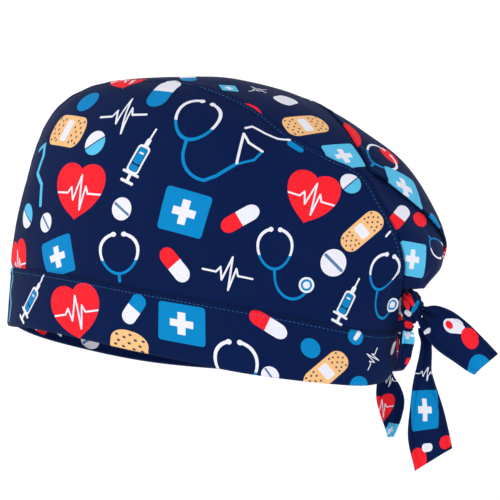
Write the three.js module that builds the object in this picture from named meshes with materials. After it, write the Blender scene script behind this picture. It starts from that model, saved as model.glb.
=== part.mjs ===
import * as THREE from "three";

// Surgical scrub cap, millimetres. Front of the cap toward -Y, +Z up, +X is the wearer's left.
// The origin is the middle of the head opening, where the cap is held up.
// The cap sits as worn: the front of the rim is higher than the back.

const panelWall = 1.5;
const bandWall = 2.2;
const tieWall = 1.7;
const seamGap = 0.4;
const foldInset = 2.0;
const foldReach = 9;

// The two ovals of the band, seen from above.
const rim = { halfWidth: 82, halfLength: 119, centreY: 0, egg: 0.05 };
const bandTop = { halfWidth: 83, halfLength: 117, centreY: 1.5, egg: 0.05 };
const bandEndAngle = 176.5;

// Heights round the band; angle 0 is the forehead, 180 the nape. Left is the wearer's left.
const bandHeights = [
  { angle: 0, rimLeft: 24, rimRight: 24, topLeft: 59, topRight: 59 },
  { angle: 30, rimLeft: 23.5, rimRight: 14, topLeft: 56.5, topRight: 54 },
  { angle: 60, rimLeft: 17, rimRight: 4, topLeft: 50, topRight: 42 },
  { angle: 90, rimLeft: 5, rimRight: -1, topLeft: 39, topRight: 35 },
  { angle: 120, rimLeft: -7, rimRight: -2, topLeft: 28, topRight: 28 },
  { angle: 150, rimLeft: -12.5, rimRight: -3, topLeft: 18.5, topRight: 20 },
  { angle: 165, rimLeft: -11, rimRight: -1, topLeft: 16.5, topRight: 17 },
  { angle: 173, rimLeft: -5, rimRight: 5, topLeft: 17.5, topRight: 17.5 },
  { angle: 180, rimLeft: 9, rimRight: 12, topLeft: 19, topRight: 19 },
];

// The crown seam on the left, the ridge over the middle, and the band angle each row starts from.
const shape = [
  { seamX: 16, seamY: -113, seamZ: 59, mirrorY: -113, ridgeY: -115.5, ridgeZ: 59.3, angle: 11.5 },
  { seamX: 17, seamY: -109, seamZ: 78, mirrorY: -109, ridgeY: -112.5, ridgeZ: 78, angle: 18 },
  { seamX: 18, seamY: -104, seamZ: 104, mirrorY: -104, ridgeY: -108, ridgeZ: 105, angle: 25 },
  { seamX: 20, seamY: -94, seamZ: 132, mirrorY: -94, ridgeY: -98, ridgeZ: 133.5, angle: 34 },
  { seamX: 24, seamY: -78, seamZ: 151, mirrorY: -78, ridgeY: -81, ridgeZ: 154, angle: 46 },
  { seamX: 33, seamY: -48, seamZ: 160, mirrorY: -48, ridgeY: -49, ridgeZ: 164, angle: 62 },
  { seamX: 44, seamY: -10, seamZ: 159, mirrorY: -10, ridgeY: -10, ridgeZ: 165.5, angle: 82 },
  { seamX: 50, seamY: 20, seamZ: 153.5, mirrorY: 20, ridgeY: 22, ridgeZ: 163.5, angle: 99 },
  { seamX: 52, seamY: 50, seamZ: 140.5, mirrorY: 50, ridgeY: 55, ridgeZ: 153.5, angle: 115 },
  { seamX: 51, seamY: 73, seamZ: 124, mirrorY: 73, ridgeY: 80, ridgeZ: 141.5, angle: 127 },
  { seamX: 47, seamY: 93, seamZ: 112, mirrorY: 93, ridgeY: 101, ridgeZ: 128, angle: 137 },
  { seamX: 41, seamY: 111, seamZ: 102, mirrorY: 111, ridgeY: 121, ridgeZ: 110, angle: 146 },
  { seamX: 39.5, seamY: 121, seamZ: 86.5, mirrorY: 120, ridgeY: 136, ridgeZ: 87, angle: 153 },
  { seamX: 36, seamY: 129, seamZ: 70, mirrorY: 126, ridgeY: 143, ridgeZ: 70, angle: 159 },
  { seamX: 30, seamY: 131.5, seamZ: 54, mirrorY: 124, ridgeY: 143.5, ridgeZ: 53, angle: 165 },
  { seamX: 19, seamY: 126, seamZ: 40, mirrorY: 115, ridgeY: 133, ridgeZ: 40, angle: 170 },
  { seamX: 8, seamY: 118, seamZ: 19.5, mirrorY: 116, ridgeY: 119, ridgeZ: 19, angle: 174 },
];
const flare = 6;
const lowerPull = 1.15;
const upperPull = 1.05;
const pouchEnd = 14.9;
const rowStep = 0.4;

// Where the right panel ends on the crown: +1 is the left crown seam, -1 its mirror.
const farEdge = [
  { row: 0, across: -1 },
  { row: 6, across: -1 },
  { row: 7, across: -0.7 },
  { row: 8, across: -0.25 },
  { row: 9, across: 0.15 },
  { row: 10, across: 0.5 },
  { row: 11, across: 0.88 },
];
const foldEdge = [
  { row: 11, across: 0.88 },
  { row: 11.6, across: 0.64 },
  { row: 12.2, across: 0.33 },
  { row: 12.8, across: 0 },
  { row: 13.6, across: -0.55 },
  { row: 14.9, across: -1 },
];

function column(table, key, place, name) {
  let i = 0;
  while (i < table.length - 2 && place > table[i + 1][key]) i++;
  const at = (k) => table[Math.min(table.length - 1, Math.max(0, k))];
  const slope = (k) => {
    const low = at(k - 1);
    const high = at(k + 1);
    return (high[name] - low[name]) / (high[key] - low[key]);
  };
  const start = at(i);
  const end = at(i + 1);
  const span = end[key] - start[key];
  const f = (place - start[key]) / span;
  const g = 1 - f;
  return start[name] * (1 + 2 * f) * g * g + slope(i) * span * f * g * g
    + end[name] * f * f * (3 - 2 * f) - slope(i + 1) * span * f * f * g;
}

const shapeRows = shape.map((row, index) => ({ ...row, row: index }));

function ovalPoint(oval, angle, side, height) {
  const turn = angle * Math.PI / 180;
  const x = oval.halfWidth * Math.sin(turn) * (1 - oval.egg * Math.cos(turn));
  return new THREE.Vector3(side * x, oval.centreY - oval.halfLength * Math.cos(turn), height);
}

function rimPoint(angle, side) {
  const name = side > 0 ? "rimLeft" : "rimRight";
  return ovalPoint(rim, angle, side, column(bandHeights, "angle", angle, name));
}

function bandTopPoint(angle, side) {
  const name = side > 0 ? "topLeft" : "topRight";
  return ovalPoint(bandTop, angle, side, column(bandHeights, "angle", angle, name));
}

function seamPoint(row, side) {
  return new THREE.Vector3(
    side * column(shapeRows, "row", row, "seamX"),
    column(shapeRows, "row", row, side > 0 ? "seamY" : "mirrorY"),
    column(shapeRows, "row", row, "seamZ"));
}

// How far the ridge stands off the straight line between the two seams.
function crownRise(row) {
  const left = seamPoint(row, 1);
  const right = seamPoint(row, -1);
  return new THREE.Vector3(
    0,
    column(shapeRows, "row", row, "ridgeY") - 0.5 * (left.y + right.y),
    column(shapeRows, "row", row, "ridgeZ") - left.z);
}

function crownPoint(row, across) {
  return seamPoint(row, -1)
    .lerp(seamPoint(row, 1), 0.5 * (across + 1))
    .addScaledVector(crownRise(row), 1 - across * across);
}

// A side panel point: up 0 is on the band, up 1 is on the crown seam.
function sidePoint(row, up, side) {
  const angle = column(shapeRows, "row", row, "angle");
  const foot = bandTopPoint(angle, side);
  const head = seamPoint(row, side);
  const size = foot.distanceTo(head);
  const step = 0.5;
  const along = bandTopPoint(angle + step, side).sub(bandTopPoint(angle - step, side));
  const out = new THREE.Vector3(along.y * side, -along.x * side, 0).normalize();
  const lean = flare * Math.PI / 180;
  const rise = out.multiplyScalar(Math.sin(lean)).setZ(Math.cos(lean));
  const headIn = seamPoint(row, -side).sub(head).multiplyScalar(0.5)
    .addScaledVector(crownRise(row), 2).normalize();
  const f = up;
  const g = 1 - up;
  return foot.multiplyScalar((1 + 2 * f) * g * g)
    .addScaledVector(rise, lowerPull * size * f * g * g)
    .addScaledVector(head, f * f * (3 - 2 * f))
    .addScaledVector(headIn, -upperPull * size * f * f * g);
}

// Stations along a sheet: both ends, and whole steps between them that every panel shares.
function stationsBetween(start, end, step) {
  const list = [start];
  for (let k = Math.floor(start / step) + 1; k * step < end - 0.2 * step; k++) {
    if (k * step > start + 0.2 * step) list.push(k * step);
  }
  list.push(end);
  return list;
}

// A closed sheet: the outer face from place(station, v), the inner face one wall further in.
function sheet(name, place, stations, countV, wall, flip) {
  const countU = stations.length - 1;
  const outer = stations.map((station) => {
    const line = [];
    for (let j = 0; j <= countV; j++) line.push(place(station, j / countV));
    return line;
  });
  const inner = outer.map((line, i) => line.map((point, j) => {
    const alongU = outer[Math.min(countU, i + 1)][j].clone().sub(outer[Math.max(0, i - 1)][j]);
    const alongV = outer[i][Math.min(countV, j + 1)].clone().sub(outer[i][Math.max(0, j - 1)]);
    const normal = alongU.cross(alongV).normalize();
    return point.clone().addScaledVector(normal, flip ? wall : -wall);
  }));
  const points = [...outer.flat(), ...inner.flat()];
  const wide = countV + 1;
  const back = (countU + 1) * wide;
  const faces = [];
  const quad = (a, b, c, d) => {
    if (flip) faces.push(a, c, b, a, d, c);
    else faces.push(a, b, c, a, c, d);
  };
  for (let i = 0; i < countU; i++) {
    for (let j = 0; j < countV; j++) {
      const a = i * wide + j;
      quad(a, a + wide, a + wide + 1, a + 1);
      quad(back + a, back + a + 1, back + a + wide + 1, back + a + wide);
    }
  }
  for (let i = 0; i < countU; i++) {
    const low = i * wide;
    const high = low + countV;
    quad(low, back + low, back + low + wide, low + wide);
    quad(high, high + wide, back + high + wide, back + high);
  }
  for (let j = 0; j < countV; j++) {
    const near = j;
    const far = countU * wide + j;
    quad(near, near + 1, back + near + 1, back + near);
    quad(far, back + far, back + far + 1, far + 1);
  }
  return solid(name, points, faces);
}

function solid(name, points, faces) {
  const geometry = new THREE.BufferGeometry();
  const flat = points.flatMap((p) => [p.x, p.y, p.z]);
  geometry.setAttribute("position", new THREE.Float32BufferAttribute(flat, 3));
  geometry.setIndex(faces);
  geometry.computeVertexNormals();
  const mesh = new THREE.Mesh(geometry, new THREE.MeshStandardMaterial({ color: 0x0a2a5e, roughness: 0.85 }));
  mesh.name = name;
  return mesh;
}

function mix(a, b, f) {
  return a + (b - a) * f;
}

function makeBand() {
  return sheet("headband", (turn, v) => {
    const side = turn < 0 ? -1 : 1;
    const angle = Math.abs(turn);
    const low = rimPoint(angle, side);
    const high = bandTopPoint(angle, side);
    return low.lerp(high, v);
  }, stationsBetween(-bandEndAngle, bandEndAngle, 5.5), 4, bandWall, false);
}

function makeLeftPanel() {
  return sheet("side_panel_left", (row, v) => {
    const size = sidePoint(row, 0, 1).distanceTo(sidePoint(row, 1, 1));
    const trim = Math.min(0.4, 0.5 * seamGap / size);
    return sidePoint(row, mix(3 * trim, 1 - trim, v), 1);
  }, stationsBetween(0.12, 15.8, rowStep), 12, panelWall, false);
}

function makeCrown() {
  return sheet("crown_panel", (row, v) => {
    const trim = 0.5 * seamGap / seamPoint(row, 1).x;
    const far = column(farEdge, "row", Math.min(row, 11), "across") + trim;
    return crownPoint(row, mix(far, 1 - trim, v));
  }, stationsBetween(0.03, 11.1, rowStep), 8, panelWall, true);
}

function rightEdge(row) {
  if (row < 11) return column(farEdge, "row", row, "across");
  return column(foldEdge, "row", Math.min(row, pouchEnd), "across");
}

function makeRightPanel() {
  return sheet("side_panel_right", (row, v) => {
    const seam = seamPoint(row, -1);
    const size = sidePoint(row, 0, -1).distanceTo(seam);
    const crownSize = -seam.x;
    const trim = Math.min(0.4, 0.5 * seamGap / size);
    const reach = (rightEdge(row) + 1) * crownSize - 0.5 * seamGap;
    const place = mix(3.4 * trim * size, size + reach, v);
    if (place <= size) return sidePoint(row, place / size, -1);
    return crownPoint(row, (place - size) / crownSize - 1);
  }, stationsBetween(0.12, 15.6, rowStep), 18, panelWall, true);
}

function makePouch() {
  return sheet("back_pouch", (row, v) => {
    const seam = seamPoint(row, 1);
    const trim = 0.5 * seamGap / seam.x;
    const across = mix(rightEdge(row) + 2.5 * trim, 1 - trim, v);
    const point = crownPoint(row, across);
    const away = Math.min(1, (1 - across) * seam.x / foldReach);
    const near = Math.min(1, (across - rightEdge(row)) * seam.x / 30);
    const inset = foldInset * away * away * (3 - 2 * away) * (1 - near * near);
    const centre = new THREE.Vector3(0, 60, 60);
    return point.addScaledVector(point.clone().sub(centre).normalize(), -inset);
  }, stationsBetween(11.25, pouchEnd, rowStep), 12, panelWall, true);
}

// Each tie is a strip between two edge lines, a and b.
function makeTie(name, table, bow, countU) {
  const rows = table.map((row, index) => ({ ...row, row: index }));
  const edge = (row, letter) => new THREE.Vector3(
    column(rows, "row", row, letter + "X"),
    column(rows, "row", row, letter + "Y"),
    column(rows, "row", row, letter + "Z"));
  return sheet(name, (row, v) => {
    const a = edge(row, "a");
    const b = edge(row, "b");
    const point = a.clone().lerp(b, v);
    const toward = new THREE.Vector3(0.93, 0.37, 0);
    return point.addScaledVector(toward, bow * 4 * v * (1 - v));
  }, stationsBetween(0, rows.length - 1, (rows.length - 1) / countU), 5, tieWall, false);
}

const tailOut = [
  { aX: 3.5, aY: 133.4, aZ: 32, bX: 3.8, bY: 132.2, bZ: 24 },
  { aX: 2.5, aY: 137.5, aZ: 32.4, bX: 3.7, bY: 133.5, bZ: 18 },
  { aX: 1, aY: 142, aZ: 31.6, bX: 3, bY: 136, bZ: 13 },
  { aX: -1, aY: 149, aZ: 28.3, bX: 1, bY: 141, bZ: 7 },
  { aX: -4, aY: 156.5, aZ: 22, bX: -2.7, bY: 149, bZ: 0.8 },
  { aX: -9, aY: 163.5, aZ: 14, bX: -6.7, bY: 155, bZ: -4 },
  { aX: -13.4, aY: 170.7, aZ: 5.3, bX: -9.2, bY: 158.2, bZ: -6 },
];
const tailDown = [
  { aX: -1, aY: 130, aZ: 20, bX: -3, bY: 134, bZ: 18 },
  { aX: -2.5, aY: 130.6, aZ: 11, bX: -5, bY: 136, bZ: 8 },
  { aX: -3.3, aY: 128.4, aZ: 2, bX: -5.7, bY: 134.5, bZ: 0 },
  { aX: -4, aY: 124.7, aZ: -10.5, bX: -8, bY: 135.5, bZ: -9 },
  { aX: -5, aY: 122.5, aZ: -24, bX: -11.5, bY: 139.4, bZ: -24 },
  { aX: -6.5, aY: 120.7, aZ: -41, bX: -14.5, bY: 141.5, bZ: -36 },
  { aX: -10, aY: 123.5, aZ: -59, bX: -17, bY: 142.9, bZ: -46.4 },
];
const loopShort = [
  { aX: 13.5, aY: 125, aZ: 17.5, bX: 9.5, bY: 128.3, bZ: 17 },
  { aX: 14.8, aY: 124.3, aZ: 12, bX: 7.7, bY: 128.3, bZ: 12 },
  { aX: 14.4, aY: 122, aZ: 5, bX: 7.2, bY: 127.5, bZ: 4.8 },
  { aX: 12.9, aY: 121.8, aZ: -0.8, bX: 6.8, bY: 125, bZ: -0.3 },
  { aX: 10.5, aY: 122.3, aZ: -3, bX: 7.5, bY: 123.3, bZ: -2.8 },
];
const tailUnder = [
  { aX: -15, aY: 98.5, aZ: 14, bX: -18, bY: 104.5, bZ: 15 },
  { aX: -16, aY: 98.5, aZ: 2, bX: -18.8, bY: 106, bZ: 5 },
  { aX: -16.4, aY: 98.6, aZ: -9, bX: -20, bY: 108, bZ: -5 },
  { aX: -17.5, aY: 98, aZ: -17, bX: -21.5, bY: 111.5, bZ: -12 },
  { aX: -18.5, aY: 99, aZ: -24.5, bX: -23, bY: 113.3, bZ: -20 },
  { aX: -20.4, aY: 102, aZ: -34, bX: -24, bY: 111, bZ: -30 },
  { aX: -22, aY: 104.4, aZ: -40.5, bX: -22.6, bY: 106, bZ: -40 },
];

// A wrap of the knot: a rounded lump of cloth with shallow turns pressed into it.
function makeWrap(name, centre, half, turns, dent) {
  const geometry = new THREE.SphereGeometry(1, 20, 14);
  geometry.deleteAttribute("uv");
  geometry.deleteAttribute("normal");
  const spots = geometry.getAttribute("position");
  const index = geometry.getIndex().array;
  const points = [];
  const found = new Map();
  const renamed = [];
  for (let i = 0; i < spots.count; i++) {
    const p = new THREE.Vector3().fromBufferAttribute(spots, i);
    const key = [p.x, p.y, p.z].map((n) => Math.round(n * 1e5) + 0).join(" ");
    if (!found.has(key)) {
      found.set(key, points.length);
      const swell = 1 - dent * (0.5 + 0.5 * Math.cos(turns * Math.atan2(p.y, p.z) + 2 * p.x));
      points.push(new THREE.Vector3(p.x * half.x, p.y * half.y, p.z * half.z)
        .multiplyScalar(swell).add(new THREE.Vector3(centre.x, centre.y, centre.z)));
    }
    renamed.push(found.get(key));
  }
  const faces = [];
  for (let i = 0; i < index.length; i += 3) {
    const trio = [renamed[index[i]], renamed[index[i + 1]], renamed[index[i + 2]]];
    if (new Set(trio).size === 3) faces.push(...trio);
  }
  return solid(name, points, faces);
}

const cap = new THREE.Group();
cap.name = "surgical_scrub_cap";
cap.add(makeBand());
cap.add(makeLeftPanel());
cap.add(makeRightPanel());
cap.add(makeCrown());
cap.add(makePouch());
cap.add(makeWrap("tie_knot", { x: 5, y: 127.3, z: 31.5 }, { x: 5, y: 5, z: 8 }, 3, 0.1));
cap.add(makeWrap("tie_wrap_lower", { x: 6.5, y: 123.6, z: 20.4 }, { x: 4, y: 4.2, z: 2.8 }, 2, 0.08));
cap.add(makeTie("tie_tail_out", tailOut, 1.5, 20));
cap.add(makeTie("tie_tail_down", tailDown, 1.2, 20));
cap.add(makeTie("tie_loop", loopShort, 1.2, 12));
cap.add(makeTie("tie_tail_under", tailUnder, -1.5, 18));

export default cap;
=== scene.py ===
import bpy
import bmesh
import math
import random
from functools import lru_cache
from mathutils import Matrix, Vector, noise


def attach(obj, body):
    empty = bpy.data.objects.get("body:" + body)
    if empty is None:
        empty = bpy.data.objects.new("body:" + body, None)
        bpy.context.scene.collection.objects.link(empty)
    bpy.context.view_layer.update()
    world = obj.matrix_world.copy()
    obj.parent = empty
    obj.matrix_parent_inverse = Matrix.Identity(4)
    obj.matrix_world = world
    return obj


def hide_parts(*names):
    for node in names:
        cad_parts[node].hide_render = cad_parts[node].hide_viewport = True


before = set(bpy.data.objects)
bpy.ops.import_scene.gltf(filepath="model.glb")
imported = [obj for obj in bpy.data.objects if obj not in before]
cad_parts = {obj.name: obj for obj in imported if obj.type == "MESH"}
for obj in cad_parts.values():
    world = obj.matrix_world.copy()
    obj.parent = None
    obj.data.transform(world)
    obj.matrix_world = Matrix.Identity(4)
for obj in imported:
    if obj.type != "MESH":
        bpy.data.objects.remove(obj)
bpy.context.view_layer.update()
mm = 0.001
random.seed(7)

# ---- the form of the cap, in millimetres, front of the cap toward -Y

capForm = {
    "seamX": [16, 17, 18, 20, 24, 33, 44, 50, 52, 51, 47, 41, 39.5, 36, 30, 19, 8],
    "seamY": [-113, -109, -104, -94, -78, -48, -10, 20, 50, 73, 93, 111, 121, 129, 131.5, 126, 118],
    "seamZ": [59, 78, 104, 132, 151, 160, 159, 153.5, 140.5, 124, 112, 102, 86.5, 70, 54, 40, 19.5],
    "mirrorY": [-113, -109, -104, -94, -78, -48, -10, 20, 50, 73, 93, 111, 120, 126, 124, 115, 116],
    "ridgeY": [-115.5, -112.5, -108, -98, -81, -49, -10, 22, 55, 80, 101, 121, 136, 143, 143.5, 133, 119],
    "ridgeZ": [59.3, 78, 105, 133.5, 154, 164, 165.5, 163.5, 153.5, 141.5, 128, 110, 87, 70, 53, 40, 19],
    "angle": [11.5, 18, 25, 34, 46, 62, 82, 99, 115, 127, 137, 146, 153, 159, 165, 170, 174],
}
bandForm = {
    "angle": [0, 30, 60, 90, 120, 150, 165, 173, 180],
    "rimLeft": [24, 23.5, 17, 5, -7, -12.5, -11, -5, 9],
    "rimRight": [24, 14, 4, -1, -2, -3, -1, 5, 12],
    "topLeft": [59, 56.5, 50, 39, 28, 18.5, 16.5, 17.5, 19],
    "topRight": [59, 54, 42, 35, 28, 20, 17, 17.5, 19],
}
rimOval = {"halfWidth": 82, "halfLength": 119, "centreY": 0}
topOval = {"halfWidth": 83, "halfLength": 117, "centreY": 1.5}
ovalEgg = 0.05
bandEndAngle = 176.5
flareAngle = math.radians(6)
lowerPull = 1.15
upperPull = 1.05
pouchEnd = 14.9
farEdge = {"row": [0, 6, 7, 8, 9, 10, 11], "across": [-1, -1, -0.7, -0.25, 0.15, 0.5, 0.88]}
foldEdge = {"row": [11, 11.6, 12.2, 12.8, 13.6, 14.9], "across": [0.88, 0.64, 0.33, 0, -0.55, -1]}


def smooth(f):
    f = min(1.0, max(0.0, f))
    return f * f * (3 - 2 * f)


def mix(a, b, f):
    return a + (b - a) * f


def bell(x, width):
    return math.exp(-(x / width) ** 2)


def follow(keys, values, place):
    i = 0
    while i < len(keys) - 2 and place > keys[i + 1]:
        i += 1
    last = len(keys) - 1

    def slope(k):
        low, high = max(0, k - 1), min(last, k + 1)
        return (values[high] - values[low]) / (keys[high] - keys[low])

    span = keys[i + 1] - keys[i]
    f = (place - keys[i]) / span
    g = 1 - f
    return (values[i] * (1 + 2 * f) * g * g + slope(i) * span * f * g * g
            + values[i + 1] * f * f * (3 - 2 * f) - slope(i + 1) * span * f * f * g)


rowKeys = list(range(len(capForm["angle"])))


@lru_cache(None)
def formAt(name, row):
    return follow(rowKeys, capForm[name], row)


@lru_cache(None)
def bandPoint(edge, angle, side):
    oval = topOval if edge == "top" else rimOval
    height = follow(bandForm["angle"], bandForm[edge + ("Left" if side > 0 else "Right")], angle)
    turn = math.radians(angle)
    x = oval["halfWidth"] * math.sin(turn) * (1 - ovalEgg * math.cos(turn))
    return Vector((side * x, oval["centreY"] - oval["halfLength"] * math.cos(turn), height))


@lru_cache(None)
def seamPoint(row, side):
    y = formAt("seamY" if side > 0 else "mirrorY", row)
    return Vector((side * formAt("seamX", row), y, formAt("seamZ", row)))


@lru_cache(None)
def crownRise(row):
    middle = (seamPoint(row, 1) + seamPoint(row, -1)) / 2
    return Vector((0, formAt("ridgeY", row), formAt("ridgeZ", row))) - middle


def crownPoint(row, across):
    base = seamPoint(row, -1).lerp(seamPoint(row, 1), 0.5 * (across + 1))
    return base + crownRise(row) * (1 - across * across)


@lru_cache(None)
def sideFrame(row, side):
    angle = formAt("angle", row)
    foot = bandPoint("top", angle, side)
    head = seamPoint(row, side)
    along = bandPoint("top", angle + 0.5, side) - bandPoint("top", angle - 0.5, side)
    out = Vector((along.y * side, -along.x * side, 0)).normalized()
    rise = out * math.sin(flareAngle) + Vector((0, 0, math.cos(flareAngle)))
    inward = ((seamPoint(row, -side) - head) * 0.5 + crownRise(row) * 2).normalized()
    return foot, head, rise, inward, (head - foot).length


def sidePoint(row, up, side):
    foot, head, rise, inward, size = sideFrame(row, side)
    f, g = up, 1 - up
    return (foot * ((1 + 2 * f) * g * g) + rise * (lowerPull * size * f * g * g)
            + head * (f * f * (3 - 2 * f)) - inward * (upperPull * size * f * f * g))


def rightEdge(row):
    table = farEdge if row < 11 else foldEdge
    return follow(table["row"], table["across"], min(row, pouchEnd))


# ---- camera and stage

viewpoint = {"azimuth": 112, "elevation": -4, "distance": 1.5, "frameWidth": 0.285,
             "aimRight": 0.0268, "aimUp": 0.0661}


def makeCamera():
    turn, tilt = math.radians(viewpoint["azimuth"]), math.radians(viewpoint["elevation"])
    back = Vector((math.sin(turn) * math.cos(tilt), -math.cos(turn) * math.cos(tilt), math.sin(tilt)))
    right = Vector((math.cos(turn), math.sin(turn), 0))
    aim = right * viewpoint["aimRight"] + back.cross(right) * viewpoint["aimUp"]
    data = bpy.data.cameras.new("camera")
    data.sensor_width = 36
    data.lens = data.sensor_width * viewpoint["distance"] / viewpoint["frameWidth"]
    data.clip_end = 50
    camera = bpy.data.objects.new("camera", data)
    camera.location = aim + back * viewpoint["distance"]
    camera.rotation_euler = back.to_track_quat("Z", "Y").to_euler()
    bpy.context.collection.objects.link(camera)
    bpy.context.scene.camera = camera


stageForm = {"floorZ": -0.36, "floorRadius": 2.2, "bowlRadius": 4.5, "bowlHeight": 5.0,
             "glow": 0.62}


def makeStage():
    bm = bmesh.new()
    corner = stageForm["bowlRadius"] - stageForm["floorRadius"]
    profile = [bm.verts.new((0, 0, stageForm["floorZ"])),
               bm.verts.new((stageForm["floorRadius"], 0, stageForm["floorZ"]))]
    for step in range(1, 13):
        turn = math.pi / 2 * step / 12
        profile.append(bm.verts.new((stageForm["floorRadius"] + corner * math.sin(turn), 0,
                                     stageForm["floorZ"] + corner * (1 - math.cos(turn)))))
    profile.append(bm.verts.new((stageForm["bowlRadius"], 0, stageForm["bowlHeight"])))
    edges = [bm.edges.new((a, b)) for a, b in zip(profile, profile[1:])]
    bmesh.ops.spin(bm, geom=profile + edges, cent=(0, 0, 0), axis=(0, 0, 1),
                   angle=2 * math.pi, steps=64, use_merge=True)
    bmesh.ops.remove_doubles(bm, verts=bm.verts, dist=1e-5)
    bmesh.ops.recalc_face_normals(bm, faces=bm.faces)
    floor = finishMesh("studio_floor", bm, None)
    paper = plainMaterial("studio paper", (0.5, 0.5, 0.51), 0.9)
    shader = paper.node_tree.nodes["Principled BSDF"]
    shader.inputs["Emission Color"].default_value = (1, 1, 1, 1)
    shader.inputs["Emission Strength"].default_value = stageForm["glow"]
    floor.data.materials.append(paper)


def plainMaterial(name, colour, roughness):
    material = bpy.data.materials.new(name)
    material.use_nodes = True
    shader = material.node_tree.nodes["Principled BSDF"]
    shader.inputs["Base Color"].default_value = (*colour, 1)
    shader.inputs["Roughness"].default_value = roughness
    return material


lamps = {
    "key": {"place": (1.6, -1.5, 1.7), "size": 1.4, "power": 17},
    "side": {"place": (2.4, 0.9, 0.5), "size": 1.6, "power": 5},
    "back": {"place": (-1.2, 1.6, 1.6), "size": 1.2, "power": 7},
    "low": {"place": (0.9, 0.3, -0.3), "size": 0.8, "power": 0.8},
}
worldLight = 0.3


def makeLights():
    for name, lamp in lamps.items():
        data = bpy.data.lights.new(name, "AREA")
        data.size = lamp["size"]
        data.energy = lamp["power"]
        light = bpy.data.objects.new(name, data)
        light.location = lamp["place"]
        aim = Vector((0, 0.02, 0.05)) - light.location
        light.rotation_euler = aim.to_track_quat("-Z", "Y").to_euler()
        bpy.context.collection.objects.link(light)
    world = bpy.data.worlds.new("pale room")
    world.use_nodes = True
    background = world.node_tree.nodes["Background"]
    background.inputs["Color"].default_value = (0.95, 0.97, 1, 1)
    background.inputs["Strength"].default_value = worldLight
    bpy.context.scene.view_settings.view_transform = "Standard"
    bpy.context.scene.world = world


# ---- cloth pieces

def finishMesh(name, bm, material):
    mesh = bpy.data.meshes.new(name)
    bm.to_mesh(mesh)
    bm.free()
    mesh.polygons.foreach_set("use_smooth", [True] * len(mesh.polygons))
    piece = bpy.data.objects.new(name, mesh)
    bpy.context.collection.objects.link(piece)
    if material:
        mesh.materials.append(material)
    return piece


# A grid of cloth laid by place(u, v), raised along its normals by relief(u, v, point);
# flat(u, v, point) gives where each point lies on the flat cloth, in metres.
def layCloth(countU, countV, place, relief, flat):
    bm = bmesh.new()
    bmesh.ops.create_grid(bm, x_segments=countU, y_segments=countV, size=0.5)
    bm.verts.index_update()
    bm.verts.ensure_lookup_table()
    spots = {}
    for vert in bm.verts:
        u, v = round(vert.co.x + 0.5, 6), round(vert.co.y + 0.5, 6)
        vert.co = place(u, v) * mm
        spots[vert.index] = (u, v)
    bm.normal_update()
    raised = []
    for vert in bm.verts:
        u, v = spots[vert.index]
        raised.append((vert, vert.co + vert.normal * relief(u, v, vert.co / mm) * mm))
    layer = bm.loops.layers.uv.new("clothFlat")
    flatSpots = {i: flat(u, v, bm.verts[i].co / mm) for i, (u, v) in spots.items()}
    for face in bm.faces:
        for loop in face.loops:
            loop[layer].uv = flatSpots[loop.vert.index]
    for vert, spot in raised:
        vert.co = spot
    return bm


# Opens a panel out flat, then turns and sizes its map to sit on guide(point), in metres.
def flattenPanel(piece, guide):
    bpy.ops.object.select_all(action="DESELECT")
    piece.select_set(True)
    bpy.context.view_layer.objects.active = piece
    bpy.ops.object.mode_set(mode="EDIT")
    bpy.ops.mesh.select_all(action="SELECT")
    bpy.ops.uv.unwrap(method="ANGLE_BASED", margin=0)
    bpy.ops.object.mode_set(mode="OBJECT")
    mesh = piece.data
    layer = mesh.uv_layers["clothFlat"].data
    pairs = []
    for loop in mesh.loops:
        wanted = guide(mesh.vertices[loop.vertex_index].co)
        pairs.append((complex(*layer[loop.index].uv), complex(*wanted)))
    middle = sum(a for a, b in pairs) / len(pairs)
    target = sum(b for a, b in pairs) / len(pairs)
    top = sum((b - target) * (a - middle).conjugate() for a, b in pairs)
    spin = top / sum(abs(a - middle) ** 2 for a, b in pairs)
    length3 = sum(math.sqrt(p.area) for p in mesh.polygons)
    length2 = 0.0
    for p in mesh.polygons:
        spots = [complex(*layer[i].uv) for i in p.loop_indices]
        twice = sum((spots[k].conjugate() * spots[(k + 1) % len(spots)]).imag for k in range(len(spots)))
        length2 += math.sqrt(abs(twice) / 2)
    spin *= length3 / length2 / abs(spin)
    for item, (a, b) in zip(layer, pairs):
        spot = (a - middle) * spin + target
        item.uv = (spot.real, spot.imag)


def thicken(piece, wall):
    solidify = piece.modifiers.new("cloth wall", "SOLIDIFY")
    solidify.thickness = wall * mm
    solidify.offset = -1
    solidify.use_even_offset = False


# How the cloth stands up beside a stitched seam; away is the distance from the folded edge.
seamForm = {"allowance": 0.75, "allowanceWidth": 3.2, "stitchAway": 2.8, "groove": 0.5, "roll": 1.2,
            "pucker": 0.2, "puckerReach": 5}


def seamRelief(away, along):
    s = seamForm
    raised = s["allowance"] * (1 - smooth((away - s["allowanceWidth"]) / 1.8))
    groove = s["groove"] * bell(away - s["stitchAway"], 0.5)
    roll = s["roll"] * bell(away, 0.55)
    wander = noise.noise(Vector((along * 0.16, away * 0.05, 3.1)))
    pucker = s["pucker"] * bell(away - s["stitchAway"], s["puckerReach"]) * wander * 2
    return raised - groove - roll + pucker


def looseness(point, size, height, offset=0.0):
    return height * noise.noise(Vector(point) / size + Vector((offset, 0.7 * offset, 0.3 * offset)))


# A soft crease between two points: each row is start, end, half width and height.
def creaseRelief(point, creases):
    total = 0.0
    for start, end, width, height in creases:
        run = Vector(end) - Vector(start)
        f = (point - Vector(start)).dot(run) / run.length_squared
        foot = Vector(start) + run * min(1, max(0, f))
        away = (point - foot).length
        if away < 3 * width:
            fade = smooth((f + 0.25) / 0.35) * smooth((1.25 - f) / 0.35)
            total += height * fade * bell(away, width)
    return total


# ---- cloth print: small shader shapes laid on the flat cloth

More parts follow.
